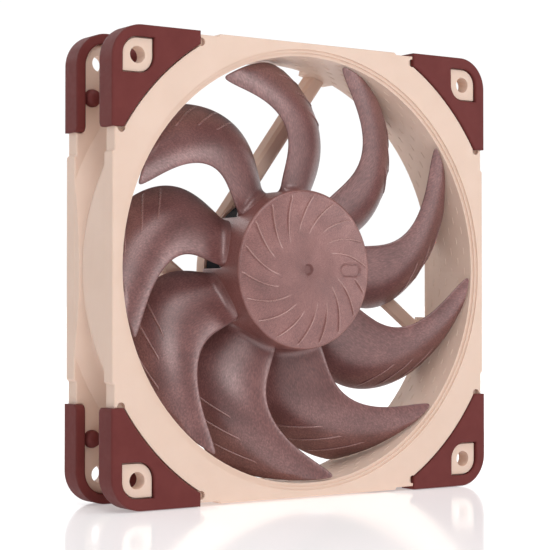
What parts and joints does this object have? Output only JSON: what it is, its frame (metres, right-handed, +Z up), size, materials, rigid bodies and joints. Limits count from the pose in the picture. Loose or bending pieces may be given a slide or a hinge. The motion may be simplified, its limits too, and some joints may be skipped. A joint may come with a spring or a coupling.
{
  "type": "case fan",
  "caption": "Square computer case fan with a swept-blade impeller on a hub, four rear struts, a waisted duct frame and soft anti-vibration corner pads.",
  "frame": {"origin": "middle of the frame, on the impeller's axis", "axes": "+Y along the impeller's axis from the intake face to the outlet face, +Z up, +X to the right seen from the intake side"},
  "size_m": [0.12, 0.025, 0.12],
  "materials": {
    "frame_plastic": "satin",
    "pad_silicone": "matte",
    "impeller_plastic": "satin",
    "black_steel": "satin",
    "magnet_rubber": "matte",
    "brass": "satin",
    "shaft_steel": "polished",
    "clip_nylon": "satin",
    "sintered_bronze": "matte",
    "black_plastic": "satin",
    "lamination_steel": "satin",
    "insulator_plastic": "satin",
    "copper_wire": "gloss",
    "board_green": "satin",
    "ceramic_tan": "matte",
    "solder": "gloss",
    "label_film": "satin"
  },
  "bodies": {
    "stator": {"frame": "frame_plastic", "pad_front_top_left": "pad_silicone", "pad_front_top_right": "pad_silicone", "pad_front_bottom_left": "pad_silicone", "pad_front_bottom_right": "pad_silicone", "pad_rear_top_left": "pad_silicone", "pad_rear_top_right": "pad_silicone", "pad_rear_bottom_left": "pad_silicone", "pad_rear_bottom_right": "pad_silicone", "bearing_tube": "brass", "bearing_sleeve": "sintered_bronze", "oil_ring": "clip_nylon", "thrust_pad": "clip_nylon", "bearing_cap": "black_plastic", "stator_core": "lamination_steel", "insulator_front": "insulator_plastic", "insulator_rear": "insulator_plastic", "coil_1": "copper_wire", "coil_2": "copper_wire", "coil_3": "copper_wire", "coil_4": "copper_wire", "circuit_board": "board_green", "driver_chip": "black_plastic", "hall_sensor": "black_plastic", "board_passives": "ceramic_tan", "solder_pads": "solder", "rear_label": "label_film"},
    "rotor": {"impeller": "impeller_plastic", "rotor_cup": "black_steel", "rotor_magnet": "magnet_rubber", "shaft_bush": "brass", "shaft": "shaft_steel", "retaining_clip": "clip_nylon"}
  },
  "joints": [
    {"name": "rotor_spin", "type": "hinge", "parent": "stator", "child": "rotor", "pos_m": [0, 0, 0], "axis": [0, -1, 0], "continuous": true}
  ]
}
